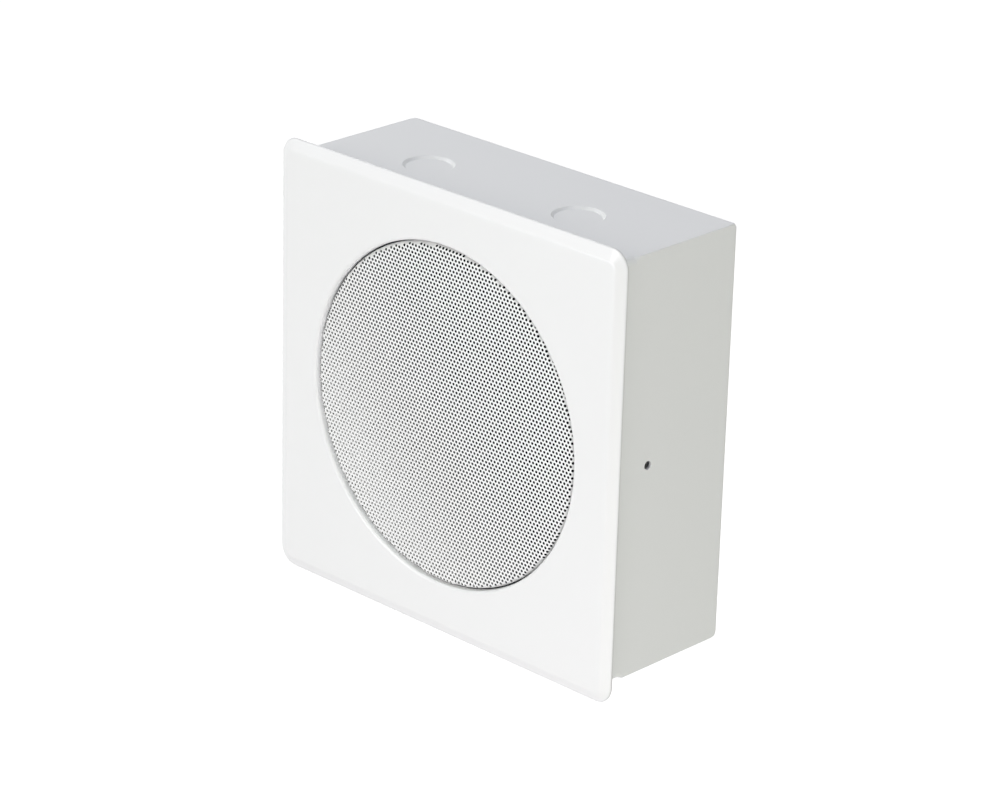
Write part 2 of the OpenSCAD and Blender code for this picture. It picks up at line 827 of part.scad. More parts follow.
module block_screws() {
    color("silver") translate([0, clamp_y, block_z]) for (i = [0:pole_n - 1])
        translate([pole_x(i), 0, 0]) difference() {
            bar(clamp_screw_d / 2, -clamp_d / 2 - block_screw_h,
                block_screw_h + clamp_d / 2 - clamp_bore / 2);
            block([-clamp_screw_d, -clamp_d / 2 - block_screw_h - over, -0.25],
                [clamp_screw_d, -clamp_d / 2 - block_screw_h + 0.7, 0.25]);
        }
}

module block_nut() {
    color("silver") translate([0, 0, block_z]) hex_nut(wall_in - saddle_t - nut_h);
}

module earth_nuts() {
    color("silver") translate([earth_x, 0, earth_z]) {
        hex_nut(wall_in - nut_h);
        hex_nut(wall_in - 2 * nut_h - washer_t);
    }
}

module earth_washer() {
    color("silver") translate([earth_x, 0, earth_z])
        plate(wall_in - nut_h - washer_t, washer_t) difference() {
            circle(r = washer_r);
            circle(r = stud_d / 2 + stud_gap);
        }
}

module transformer_leads() {
    color("firebrick") for (i = [0, 1]) {
        x = -limb_w / 2 - i * lead_gap;
        out = i * lead_gap;
        wire([
            [x, winding_y, winding_top],
            [x, winding_y, winding_top + 2],
            [x, winding_y, winding_top + 4 + lead_gap - out],
            [-26 - out, -14, -50 - out / 2],
            [-48 - out, -9, -30],
            [-56 - out, -8, 0],
            [-50 - out, -9, 34],
            [-30 - out, -9, 53 + 1.4 * out],
            [pole_x(i), clamp_y, block_low - 5],
            [pole_x(i), clamp_y, block_z - clamp_l / 2 + 1]]);
    }
}

module driver_leads() {
    color("black") for (side = [-1, 1]) {
        x = limb_w / 2 + (side + 1) / 2 * lead_gap;
        wire([
            [x, winding_y, winding_top],
            [x, winding_y, winding_top + 3],
            [side * tag_x + 1, winding_y - 10, winding_top + 4],
            [side * tag_x, tag_y + tag_t + 3, tag_z - tag_l + 4],
            [side * tag_x, tag_y + tag_t, tag_z - tag_l + 4]]);
    }
}

back_box();
front_panel();
panel_studs();
bracket_left();
bracket_right();
clinch_nuts();
grille();
grille_cloth();
foam_gasket();
spacer_sleeves();
baffle_plate();
stud_washers();
stud_nuts();
driver_gasket();
driver_frame();
driver_screws();
surround();
cone();
dust_cap();
spider();
coil_former();
coil_winding();
front_plate();
magnet();
pole_yoke();
terminal_board();
terminal_tags();
box_studs();
transformer_core();
transformer_winding();
transformer_strap();
transformer_nuts();
terminal_block();
block_clamps();
block_screws();
block_nut();
earth_nuts();
earth_washer();
transformer_leads();
driver_leads();
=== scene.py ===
import math

import bmesh
import bpy
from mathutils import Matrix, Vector
from mathutils.geometry import delaunay_2d_cdt, tessellate_polygon


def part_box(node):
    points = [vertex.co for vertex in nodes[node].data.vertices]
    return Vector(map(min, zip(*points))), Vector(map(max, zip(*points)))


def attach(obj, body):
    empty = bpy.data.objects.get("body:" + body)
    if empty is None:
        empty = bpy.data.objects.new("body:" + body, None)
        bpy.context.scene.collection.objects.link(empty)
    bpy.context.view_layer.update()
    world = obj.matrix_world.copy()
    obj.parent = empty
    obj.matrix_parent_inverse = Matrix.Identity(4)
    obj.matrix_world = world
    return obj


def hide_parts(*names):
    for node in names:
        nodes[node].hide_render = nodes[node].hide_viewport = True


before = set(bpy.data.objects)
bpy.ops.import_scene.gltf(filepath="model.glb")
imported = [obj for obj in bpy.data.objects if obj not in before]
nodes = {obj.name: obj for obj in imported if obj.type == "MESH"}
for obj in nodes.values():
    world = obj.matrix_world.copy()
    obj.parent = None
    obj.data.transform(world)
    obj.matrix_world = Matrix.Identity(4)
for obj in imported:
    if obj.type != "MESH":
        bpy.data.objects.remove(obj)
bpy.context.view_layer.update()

# ---- Camera ----
# It stands in front of the speaker, to the right and above, and looks at it
# through a long lens, as the photograph does.
camera_data = bpy.data.cameras.new("camera")
camera_data.sensor_width = 36
camera_data.lens = 135.23
camera = bpy.data.objects.new("camera", camera_data)
camera.location = (1.1077, -1.2072, 0.6536)
camera.rotation_euler = (math.radians(67.843), math.radians(-1.472), math.radians(44.188))
bpy.context.scene.collection.objects.link(camera)
bpy.context.scene.camera = camera
bpy.context.scene.view_settings.view_transform = "Standard"

# ---- Back box ----
# A box folded from 1.2 mm sheet steel and coated with white powder, its corners
# welded and ground smooth at the front. Knock-outs are pressed into its top and
# back, and its top and bottom return behind the front panel.
MM = 0.001
SHEET = 1.2 * MM
box_low, box_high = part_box("back_box")
BOX_X = box_high.x
BOX_Z = box_high.z
BOX_FRONT = box_low.y
BACK_FOLD_R = 3 * MM
BACK_FOLD_STEPS = 8
FRONT_FOLD_R = 2.2 * MM
FRONT_FOLD_STEPS = 5
RETURN_W = 8 * MM
SEAM_R = 0.45 * MM
BACK_CORNER_R = 2.4 * MM
BACK_CORNER_L = 5 * MM
EASED_R = 3.6 * MM
EASED_FROM = 14.5 * MM
EASED_L = 17 * MM
EASED_RINGS = 8
LEAST_SEAM_R = 0.15 * MM
LEAST_EDGE = 0.0001 * MM
EDGE_BREAK = 0.1 * MM
KNOCKOUT_R = 12.2 * MM
KNOCKOUT_FLOOR_R = 10.9 * MM
KNOCKOUT_DEPTH = 1.2 * MM
KNOCKOUT_BEND = 0.5 * MM
KNOCKOUT_BEND_STEPS = 4
KNOCKOUT_STEPS = 72
KNOCKOUT_X = 46.9 * MM
KNOCKOUT_Y = -46.4 * MM
REAR_KNOCKOUT_X = 66 * MM
WALL_SCREW = 75 * MM
WALL_HOLE_R = 2.75 * MM
SIDE_HOLE_R = 2.1 * MM
SIDE_HOLE_Y = BOX_FRONT + 27.6 * MM
HOLE_STEPS = 40
CORNER_STEPS = 6


class Skin:
    """Points and faces of a sheet metal piece, built up from rings of points."""

    def __init__(self):
        self.points = []
        self.faces = []
        self.coats = []

    def ring(self, points):
        first = len(self.points)
        self.points += [tuple(p) for p in points]
        return list(range(first, len(self.points)))

    def face(self, corners, coat=0):
        self.faces.append(tuple(corners))
        self.coats.append(coat)

    def bridge(self, a, b, skip=(), coat=0):
        for i in range(len(a)):
            j = (i + 1) % len(a)
            if i not in skip:
                self.face((a[i], a[j], b[j], b[i]), coat)

    def loft(self, rings):
        made = [self.ring(r) for r in rings]
        for a, b in zip(made, made[1:]):
            self.bridge(a, b)
        return made

    def fill(self, outline, *holes):
        loops = [outline, *holes]
        corners = [i for loop in loops for i in loop]
        outlines = [[Vector(self.points[i]) for i in loop] for loop in loops]
        for triangle in tessellate_polygon(outlines):
            self.face([corners[k] for k in triangle])

    def piece(self, name, coats, slot, *replaced, sharp=35):
        mesh = bpy.data.meshes.new(name)
        mesh.from_pydata(self.points, [], self.faces)
        for coat in coats:
            mesh.materials.append(coat)
        mesh.polygons.foreach_set("material_index", self.coats)
        work = bmesh.new()
        work.from_mesh(mesh)
        bmesh.ops.dissolve_degenerate(work, dist=LEAST_EDGE, edges=work.edges)
        bmesh.ops.recalc_face_normals(work, faces=work.faces)
        work.to_mesh(mesh)
        work.free()
        mesh.polygons.foreach_set("use_smooth", [True] * len(mesh.polygons))
        mesh.set_sharp_from_angle(angle=math.radians(sharp))
        made = bpy.data.objects.new(name, mesh)
        bpy.context.scene.collection.objects.link(made)
        flatten = made.modifiers.new("flat faces", "WEIGHTED_NORMAL")
        flatten.weight = 100
        flatten.keep_sharp = True
        bpy.context.view_layer.objects.active = made
        bpy.ops.object.modifier_apply(modifier=flatten.name)
        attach(made, "root")
        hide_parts(*replaced)


def arc(centre, radius, start, end, steps):
    """Points on an arc in a plane, with the angles in degrees."""
    turns = [math.radians(start + (end - start) * i / steps) for i in range(steps + 1)]
    return [(centre[0] + radius * math.cos(a), centre[1] + radius * math.sin(a)) for a in turns]


def rounded_ring(x, z, r, y, steps=CORNER_STEPS):
    """Rectangle with half sides x and z and rounded corners, at depth y."""
    corners = ((1, 1, 0), (-1, 1, 90), (-1, -1, 180), (1, -1, 270))
    return [(px, y, pz) for sx, sz, turn in corners
            for px, pz in arc((sx * (x - r), sz * (z - r)), r, turn, turn + 90, steps)]


def circle(r, steps):
    return [(r * math.cos(2 * math.pi * i / steps), r * math.sin(2 * math.pi * i / steps))
            for i in range(steps)]


def smooth_step(t):
    return t * t * (3 - 2 * t)


def seam_r(y, inset):
    """Radius of the welded seams: ground wide at the front, and a ball at the back."""
    front = smooth_step(min(1, max(0, (BOX_FRONT + EASED_L - y) / (EASED_L - EASED_FROM))))
    back = smooth_step(min(1, max(0, 1 + y / BACK_CORNER_L)))
    r = SEAM_R + (EASED_R - SEAM_R) * front + (BACK_CORNER_R - SEAM_R) * back
    return max(r - inset, LEAST_SEAM_R)


def wall_rings(inset):
    """Rings of one skin of the box from its return flange to its back wall."""
    x, z = BOX_X - inset, BOX_Z - inset
    front = BOX_FRONT + inset
    back = -inset
    fold = FRONT_FOLD_R - inset
    rings = [rounded_ring(x, BOX_Z - RETURN_W, seam_r(front, inset), front)]
    for z_off, y_off in arc((-fold, fold), fold, -90, 0, FRONT_FOLD_STEPS):
        y = front + y_off
        rings.append(rounded_ring(x, z + z_off, seam_r(y, inset), y))
    eased = [EASED_FROM + (EASED_L - EASED_FROM) * i / EASED_RINGS
             for i in range(EASED_RINGS + 1)]
    for y_off in (FRONT_FOLD_R + MM, *eased):
        y = BOX_FRONT + y_off
        rings.append(rounded_ring(x, z, seam_r(y, inset), y))
    flat_start = len(rings) - 1
    rings.append(rounded_ring(x, z, seam_r(-BACK_CORNER_L, inset), -BACK_CORNER_L))
    fold = BACK_FOLD_R - inset
    for off, y_off in arc((-fold, -fold), fold, 0, 90, BACK_FOLD_STEPS):
        y = back + y_off
        rings.append(rounded_ring(x + off, z + off, seam_r(y, inset), y))
    return rings, flat_start


def dish_profile():
    """Section of a pressed knock-out from its edge inwards, as radius and depth."""
    slope = math.degrees(math.atan2(KNOCKOUT_DEPTH, KNOCKOUT_R - KNOCKOUT_FLOOR_R))
    reach = KNOCKOUT_BEND * math.tan(math.radians(slope / 2))
    edge = arc((KNOCKOUT_R + reach, KNOCKOUT_BEND), KNOCKOUT_BEND,
               -90, -90 - slope, KNOCKOUT_BEND_STEPS)
    floor_edge = arc((KNOCKOUT_FLOOR_R - reach, KNOCKOUT_DEPTH - KNOCKOUT_BEND), KNOCKOUT_BEND,
                     90 - slope, 90, KNOCKOUT_BEND_STEPS)
    return edge + floor_edge


def on_top(x, y):
    """Gives places on the top wall: u and v in the wall, d into the box."""
    return lambda u, v, d: (x + u, y + v, BOX_Z - d)


def on_back(x, z):
    """The same for the back wall."""
    return lambda u, v, d: (x + u, -d, z + v)


def on_side(side, y, z):
    """The same for the right wall, side 1, or the left one, side -1."""
    return lambda u, v, d: (side * (BOX_X - d), y + u, z + v)


def knockout(skin, place, inset):
    """Pressed dish on one skin of a wall; returns the ring where it meets the wall."""
    rings = [skin.ring([place(u, v, d + inset) for u, v in circle(r, KNOCKOUT_STEPS)])
             for r, d in dish_profile()]
    for a, b in zip(rings, rings[1:]):
        skin.bridge(a, b)
    skin.fill(rings[-1])
    return rings[0]


def drilled_hole(skin, place, r):
    """Round hole through the sheet with broken edges; returns its two outer rings."""
    profile = ((r + EDGE_BREAK, 0), (r, EDGE_BREAK), (r, SHEET - EDGE_BREAK),
               (r + EDGE_BREAK, SHEET))
    rings = [skin.ring([place(u, v, d) for u, v in circle(radius, HOLE_STEPS)])
             for radius, d in profile]
    for a, b in zip(rings, rings[1:]):
        skin.bridge(a, b)
    return rings[0], rings[-1]


box_skin = Skin()
side_holes = {side: drilled_hole(box_skin, on_side(side, SIDE_HOLE_Y, 0), SIDE_HOLE_R)
              for side in (1, -1)}
wall_holes = [drilled_hole(box_skin, on_back(sx * WALL_SCREW, sz * WALL_SCREW), WALL_HOLE_R)
              for sx in (-1, 1) for sz in (-1, 1)]
front_edges = []
for k, inset in enumerate((0, SHEET)):
    rings, flat_start = wall_rings(inset)
    last = len(rings[0]) // 4 - 1
    # The edges of a ring that span the top, the left, the bottom and the right wall
    sides = [last + i * (last + 1) for i in range(4)]
    made = box_skin.loft(rings[:flat_start + 1])
    back = box_skin.loft(rings[flat_start + 1:])
    box_skin.bridge(made[-1], back[0], skip=sides)
    holes = {
        sides[0]: [knockout(box_skin, on_top(sx * KNOCKOUT_X, KNOCKOUT_Y), inset)
                   for sx in (-1, 1)],
        sides[1]: [side_holes[-1][k]],
        sides[2]: [],
        sides[3]: [side_holes[1][k]],
    }
    for i, cut in holes.items():
        j = (i + 1) % len(rings[0])
        box_skin.fill([made[-1][i], made[-1][j], back[0][j], back[0][i]], *cut)
    box_skin.fill(back[-1], knockout(box_skin, on_back(REAR_KNOCKOUT_X, 0), inset),
                  *[hole[k] for hole in wall_holes])
    front_edges.append(made[0])
cut_edge = box_skin.ring(rounded_ring(BOX_X - SHEET, BOX_Z - RETURN_W - EDGE_BREAK,
                                      EASED_R / 2, BOX_FRONT))
box_skin.bridge(front_edges[0], cut_edge)
box_skin.bridge(cut_edge, front_edges[1])


class Socket:
    """An output of a shader node. Sums and products of sockets add Math nodes."""

    def __init__(self, tree, out):
        self.tree = tree
        self.out = out

    def node(self, kind, settings, inputs, output=0):
        made = self.tree.nodes.new(kind)
        for name, value in settings.items():
            setattr(made, name, value)
        for name, value in inputs.items():
            if isinstance(value, Socket):
                self.tree.links.new(value.out, made.inputs[name])
            else:
                made.inputs[name].default_value = value
        return Socket(self.tree, made.outputs[output]) if made.outputs else None

    def maths(self, operation, *others):
        return self.node("ShaderNodeMath", {"operation": operation},
                         dict(enumerate((self, *others))))

    def __add__(self, other):
        return self.maths("ADD", other)

    def __mul__(self, other):
        return self.maths("MULTIPLY", other)

    __radd__ = __add__
    __rmul__ = __mul__

    def between(self, low, high):
        """0 below low, 1 above high and smooth between them."""
        return self.node("ShaderNodeMapRange", {"interpolation_type": "SMOOTHSTEP"},
                         {"Value": self, "From Min": low, "From Max": high})

    def mix(self, first, second):
        """Colour that goes from first to second as this socket goes from 0 to 1."""
        return self.node("ShaderNodeMix", {"data_type": "RGBA"}, {0: self, 6: first, 7: second}, 2)

    def stretched(self, x, y, z):
        return self.node("ShaderNodeVectorMath", {"operation": "MULTIPLY"},
                         {0: self, 1: (x, y, z)})

    def noise(self, scale, detail=2):
        return self.node("ShaderNodeTexNoise", {},
                         {"Vector": self, "Scale": scale, "Detail": detail})

    def part(self, axis):
        return self.node("ShaderNodeSeparateXYZ", {}, {0: self}, "XYZ".index(axis))

    def bump(self, depth):
        return self.node("ShaderNodeBump", {},
                         {"Height": self, "Distance": depth, "Strength": 1})


def finish(name, look):
    """Material whose look is worked out from the place on the piece, in metres."""
    material = bpy.data.materials.new(name)
    material.use_nodes = True
    tree = material.node_tree
    tree.nodes.clear()
    place = Socket(tree, tree.nodes.new("ShaderNodeTexCoord").outputs["Object"])
    shader = place.node("ShaderNodeBsdfPrincipled", {}, look(place))
    place.node("ShaderNodeOutputMaterial", {}, {"Surface": shader})
    return material


def grey(value):
    return (value, value, value, 1)


# Grey of the painted shade along the panel's rim.
RIM_SHADE_GREY = grey(0.66)


def powder_coat(colour, shade, roughness, peel, edge=None):
    """White powder coat with the faint orange peel of a stoved finish.

    Where edge is given, painted shade turns it grey from the first to the second depth in edge,
    along the panel's rim.
    """
    def look(place):
        waves = place.noise(900, 1)
        white = (place.noise(14) * 0.7 + place.noise(420) * 0.3).mix(colour, shade)
        return {
            # Painted shade: a grey band along the rim where edge is given.
            "Base Color": place.part("Y").between(*edge).mix(white, RIM_SHADE_GREY) if edge else white,
            "Roughness": roughness,
            "Normal": waves.bump(peel),
            "IOR": 1.5,
        }
    return look


box_paint = finish("box paint", powder_coat(
    (0.80, 0.81, 0.80, 1), (0.79, 0.80, 0.795, 1), 0.42, 0.003 * MM))
box_skin.piece("box_shell", [box_paint], "box_paint", "back_box")


def dress(material, *names):
    """Give CAD nodes a finish."""
    for name in names:
        for slot in nodes[name].material_slots:
            slot.material = material


def bright_zinc(place):
    cloud = place.noise(240)
    return {
        "Base Color": cloud.mix((0.60, 0.62, 0.65, 1), (0.72, 0.71, 0.68, 1)),
        "Metallic": 1.0,
        "Roughness": place.noise(900) * 0.2 + 0.22,
        "Normal": place.noise(1800, 3).bump(0.01 * MM),
    }


zinc = finish("bright zinc", bright_zinc)
dress(zinc, "box_studs", "transformer_nuts", "block_nut", "earth_nuts", "earth_washer")

# ---- Line transformer ----
# A stack of varnished steel sheets with a taped winding round its middle limb,
# held to the back wall by a strap of zinc coated sheet.


def steel_stack(place):
    sheets = place.node("ShaderNodeTexWave", {"bands_direction": "Z"},
                        {"Vector": place, "Scale": 320, "Distortion": 0.4})
    return {
        "Base Color": sheets.mix((0.10, 0.10, 0.11, 1), (0.24, 0.23, 0.22, 1)),
        "Metallic": 0.8,
        "Roughness": place.noise(300) * 0.2 + 0.38,
        "Normal": sheets.bump(0.05 * MM),
    }


def winding_tape(place):
    laps = place.node("ShaderNodeTexWave", {"bands_direction": "Y", "wave_profile": "SAW"},
                      {"Vector": place, "Scale": 32, "Distortion": 0.6})
    return {
        "Base Color": laps.mix((0.86, 0.66, 0.10, 1), (0.70, 0.50, 0.06, 1)),
        "Roughness": place.noise(500) * 0.15 + 0.22,
        "Normal": laps.bump(0.06 * MM),
        "Coat Weight": 0.3,
    }


def zinc_sheet(place):
    spangle = place.node("ShaderNodeTexVoronoi", {}, {"Vector": place, "Scale": 130}, "Color")
    flake = spangle.part("X")
    return {
        "Base Color": flake.mix((0.50, 0.52, 0.54, 1), (0.68, 0.69, 0.70, 1)),
        "Metallic": 1.0,
        "Roughness": flake * 0.2 + 0.3,
        "Normal": place.noise(1200, 3).bump(0.01 * MM),
    }


coated_sheet = finish("zinc coated sheet", zinc_sheet)
dress(finish("core stack", steel_stack), "transformer_core")
dress(finish("winding tape", winding_tape), "transformer_winding")
dress(coated_sheet, "transformer_strap")

# ---- Terminal block ----
# An ivory moulding with four brass wire clamps and their small steel screws,
# held by one nut in its middle.


def moulded_plastic(place):
    return {
        "Base Color": place.noise(60).mix((0.85, 0.82, 0.74, 1), (0.79, 0.75, 0.66, 1)),
        "Roughness": place.noise(700) * 0.15 + 0.38,
        "Normal": place.noise(2600).bump(0.02 * MM),
    }


def plain_brass(place):
    return {
        "Base Color": place.noise(350).mix((0.80, 0.62, 0.28, 1), (0.62, 0.44, 0.18, 1)),
        "Metallic": 1.0,
        "Roughness": place.noise(1200) * 0.2 + 0.2,
        "Normal": place.stretched(1, 1, 12).noise(900).bump(0.01 * MM),
    }


brass = finish("brass", plain_brass)
dress(finish("ivory moulding", moulded_plastic), "terminal_block")
dress(brass, "block_clamps")
dress(zinc, "block_screws")

# ---- Front panel ----
# One pressed sheet: a bevelled edge all round, rounded corners, and a round
# opening whose edge rolls back into a short collar. It is coated with glossier
# white powder than the box. Weld studs and two brackets sit behind it.
panel_low, panel_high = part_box("front_panel")
PANEL_X = panel_high.x
PANEL_Z = panel_high.z
FACE_Y = panel_low.y
PANEL_R = 9.3 * MM
PANEL_CORNER_STEPS = 16
BEVEL_W = 5.3 * MM
BEVEL_D = 2.6 * MM
CREASE_R = 4.5 * MM
CREASE_STEPS = 8
OPENING_R = 82.5 * MM
LIP_R = 1.5 * MM
LIP_STEPS = 8
COLLAR_Y = FACE_Y + 6 * MM
# Depths over which painted shade darkens the surfaces in the gap round the grille.
GAP_SHADE_DEPTHS = (FACE_Y + 3.6 * MM, FACE_Y + 5.0 * MM)
# Depths over which the panel's rim turns grey with painted shade.
RIM_SHADE_DEPTHS = (FACE_Y + BEVEL_D - 0.5 * MM, FACE_Y + BEVEL_D)
RIM_BREAK = 0.2 * MM
RIM_R = 0.6 * MM
RIM_STEPS = 5
RING_STEPS = 192
PANEL_WHITE = (0.865, 0.868, 0.868, 1)

slope = math.degrees(math.atan2(BEVEL_D, BEVEL_W))


def bevel_sections():
    """Inset and depth of the panel's edge, from its flat back round to its face."""
    shrink = SHEET * math.tan(math.radians(slope / 2))
    sin, cos = math.sin(math.radians(slope)), math.cos(math.radians(slope))
    rim = (RIM_R * (1 - cos - sin), FACE_Y + BEVEL_D)
    rim_back = (rim[0] + SHEET * sin, rim[1] + SHEET * cos)
    inner = (BEVEL_W + shrink, FACE_Y + SHEET)
    reach = CREASE_R * math.tan(math.radians(slope / 2))
    crease = arc((BEVEL_W + reach, FACE_Y + CREASE_R), CREASE_R, -90 - slope, -90,
                 CREASE_STEPS)
    rim_c = (rim[0] + RIM_R * (cos + sin), rim[1] + RIM_R * (cos - sin))
    return [
        (inner[0] + RIM_BREAK, inner[1]), inner,
        (rim_back[0] + RIM_BREAK * cos, rim_back[1] - RIM_BREAK * sin),
        (rim_back[0] - RIM_BREAK * sin, rim_back[1] - RIM_BREAK * cos),
        *arc(rim_c, RIM_R, 180 - slope, 270 - slope, RIM_STEPS),
        *crease,
    ]


def round_ring(r, y):
    return [(x, y, z) for x, z in circle(r, RING_STEPS)]


panel_skin = Skin()
edge_rings = panel_skin.loft([
    rounded_ring(PANEL_X - inset, PANEL_Z - inset, PANEL_R - inset, y, PANEL_CORNER_STEPS)
    for inset, y in bevel_sections()])
roll = arc((OPENING_R + LIP_R, FACE_Y + LIP_R), LIP_R, 270, 180, LIP_STEPS)
inner_roll = arc((OPENING_R + LIP_R, FACE_Y + LIP_R), LIP_R - SHEET, 180, 270, LIP_STEPS)
lip_rings = panel_skin.loft([round_ring(r, y) for r, y in roll])
collar_rings = [panel_skin.ring(round_ring(r, y)) for r, y in (
    (OPENING_R, COLLAR_Y - RIM_BREAK), (OPENING_R + RIM_BREAK, COLLAR_Y),
    (OPENING_R + SHEET, COLLAR_Y))]
inner_rings = panel_skin.loft([round_ring(r, y) for r, y in inner_roll])
# The collar and its cut edge take the painted shade of the gap.
for a, b in zip([lip_rings[-1], *collar_rings], [*collar_rings, inner_rings[0]]):
    panel_skin.bridge(a, b, coat=1)
panel_skin.fill(edge_rings[-1], lip_rings[0])
panel_skin.fill(edge_rings[0], inner_rings[-1])


def gap_shade_look(place):
    """Panel white that turns near black deep in the gap round the grille, as painted shade."""
    gap_shade_black = place.noise(300).mix((0.02, 0.02, 0.03, 1), (0.05, 0.05, 0.06, 1))
    return {
        "Base Color": place.part("Y").between(*GAP_SHADE_DEPTHS).mix(PANEL_WHITE, gap_shade_black),
        "Roughness": place.noise(900) * 0.2 + 0.4,
        "Specular IOR Level": 0.2,
    }


painted_gap_shade = finish("painted shade in the gap", gap_shade_look)
panel_paint = finish("panel paint", powder_coat(
    PANEL_WHITE, (0.858, 0.86, 0.86, 1), 0.28, 0.0008 * MM, RIM_SHADE_DEPTHS))
panel_skin.piece("front_plate_skin", [panel_paint, painted_gap_shade], "panel_paint", "front_panel")


def shaded_nut_zinc(place):
    """Zinc darkened to near black: painted shade on the nuts seen deep in the side holes."""
    return {
        "Base Color": place.noise(500).mix((0.06, 0.06, 0.06, 1), (0.12, 0.12, 0.12, 1)),
        "Metallic": 0.9,
        "Roughness": place.noise(900) * 0.2 + 0.45,
    }


dress(zinc, "panel_studs")
dress(finish("zinc darkened with painted shade", shaded_nut_zinc), "clinch_nuts")
dress(coated_sheet, "bracket_left", "bracket_right")

# ---- Grille ----
# A slightly crowned cap pressed from perforated steel, its rows of holes a little
# askew. Its rounded edge runs back to a rim that is clamped behind the panel's
# collar. Painted shade darkens the hole walls and the rim in the gap, and the hole
# walls lighten towards the lower left as painted light.
grille_low, grille_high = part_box("grille")
GRILLE_Y = grille_low.y
GRILLE_BACK = grille_high.y
GRILLE_RIM_R = grille_high.x
GRILLE_T = 0.8 * MM
CAP_R = OPENING_R - 0.75 * MM
CAP_EDGE_R = 1.8 * MM
CROWN = 0.85 * MM
HOLE_PITCH = 2.11 * MM
HOLE_R = 0.705 * MM
HOLE_SIDES = 7
HOLE_TURN = math.radians(-1.1)
FLAT_R = CAP_R - CAP_EDGE_R
EDGE_L = CAP_EDGE_R * math.pi / 2
HOLES_TO = FLAT_R + 0.9 * MM
HOLES_X = 1.2 * MM
HOLES_Z = 0.5 * MM
PATTERN_MARGIN = 0.5 * MM
SAME_POINT = 1e-9
PATTERN_R = FLAT_R + EDGE_L + PATTERN_MARGIN


def on_cap(x, z, depth):
    """Place on the cap for a point of the flat blank, depth into the sheet."""
    out = math.hypot(x, z)
    turn = math.atan2(z, x)
    if out <= FLAT_R:
        r = out
        y = GRILLE_Y - CROWN * (1 - (out / FLAT_R) ** 2) + depth
    elif out <= FLAT_R + EDGE_L:
        bend = (out - FLAT_R) / CAP_EDGE_R
        r = FLAT_R + (CAP_EDGE_R - depth) * math.sin(bend)
        y = GRILLE_Y + CAP_EDGE_R - (CAP_EDGE_R - depth) * math.cos(bend)
    else:
        r = CAP_R - depth
        y = GRILLE_Y + CAP_EDGE_R + out - FLAT_R - EDGE_L
    return (r * math.cos(turn), y, r * math.sin(turn))


def perforation():
    """Middles of the holes in the flat blank."""
    row_h = HOLE_PITCH * math.sqrt(3) / 2
    reach = int(HOLES_TO / HOLE_PITCH) + 2
    rows = int(HOLES_TO / row_h) + 1
    for j in range(-rows, rows + 1):
        for i in range(-reach, reach + 1):
            u = (i + 0.5 * (j % 2)) * HOLE_PITCH
            v = j * row_h
            if math.hypot(u, v) <= HOLES_TO:
                yield (HOLES_X + u * math.cos(HOLE_TURN) - v * math.sin(HOLE_TURN),
                       HOLES_Z + u * math.sin(HOLE_TURN) + v * math.cos(HOLE_TURN))


blank = [p for cx, cz in perforation()
         for p in ((cx + u, cz + v) for u, v in circle(HOLE_R, HOLE_SIDES))]
hole_count = len(blank) // HOLE_SIDES
blank += circle(PATTERN_R, RING_STEPS)
cuts = [(h * HOLE_SIDES + i, h * HOLE_SIDES + (i + 1) % HOLE_SIDES)
        for h in range(hole_count) for i in range(HOLE_SIDES)]
_, _, triangles, sources, _, _ = delaunay_2d_cdt(
    [Vector(p) for p in blank], cuts, [], 0, SAME_POINT)
grille_skin = Skin()
front = grille_skin.ring([on_cap(x, z, 0) for x, z in blank])
behind = grille_skin.ring([on_cap(x, z, GRILLE_T) for x, z in blank])
for triangle in triangles:
    corners = [sources[k][0] for k in triangle]
    # A triangle with all three corners on one hole would close it
    if len({c // HOLE_SIDES for c in corners}) > 1 or max(corners) >= hole_count * HOLE_SIDES:
        grille_skin.face([front[c] for c in corners])
        grille_skin.face([behind[c] for c in reversed(corners)])
for a, b in cuts:
    grille_skin.face((front[a], front[b], behind[b], behind[a]), 1)
rim_front = front[-RING_STEPS:]
rim_behind = behind[-RING_STEPS:]
rim = [grille_skin.ring(round_ring(r, y)) for r, y in (
    (CAP_R, GRILLE_BACK - GRILLE_T), (GRILLE_RIM_R, GRILLE_BACK - GRILLE_T),
    (GRILLE_RIM_R, GRILLE_BACK), (CAP_R - GRILLE_T, GRILLE_BACK))]
# The cap's side and its rim take the painted shade of the gap.
for a, b in zip([rim_front, *rim], [*rim, rim_behind]):
    grille_skin.bridge(a, b, coat=2)


def painted_light_toward_lower_left(place):
    """Mask of the painted light and shade on the grille: 0 at the upper right of the grille, 1 at
    its lower left edge.
    """
    return (place.part("X") * -0.8 + place.part("Z") * -0.6).between(-30 * MM, 88 * MM)


def hole_light_and_shade(place):
    return {
        # Painted shade makes the hole walls near black at the upper right, and painted light makes
        # them near white towards the lower left.
        "Base Color": painted_light_toward_lower_left(place).mix((0.01, 0.01, 0.015, 1), (0.92, 0.92, 0.91, 1)),
        "Roughness": place.noise(900) * 0.2 + 0.5,
        "Specular IOR Level": 0.1,
    }


grille_paint = finish("grille paint", powder_coat(
    (0.90, 0.902, 0.90, 1), (0.89, 0.892, 0.89, 1), 0.36, 0.002 * MM))
grille_skin.piece("perforated_cap",
                  [grille_paint, finish("painted light and shade in the holes", hole_light_and_shade), painted_gap_shade],
                  "grille_paint", "grille", sharp=60)

# ---- Cloth and foam ring ----
# A thin black cloth keeps dust out, and a ring of closed cell foam presses it
# on the rim of the cap. The cloth turns light grey towards its lower left as painted light.


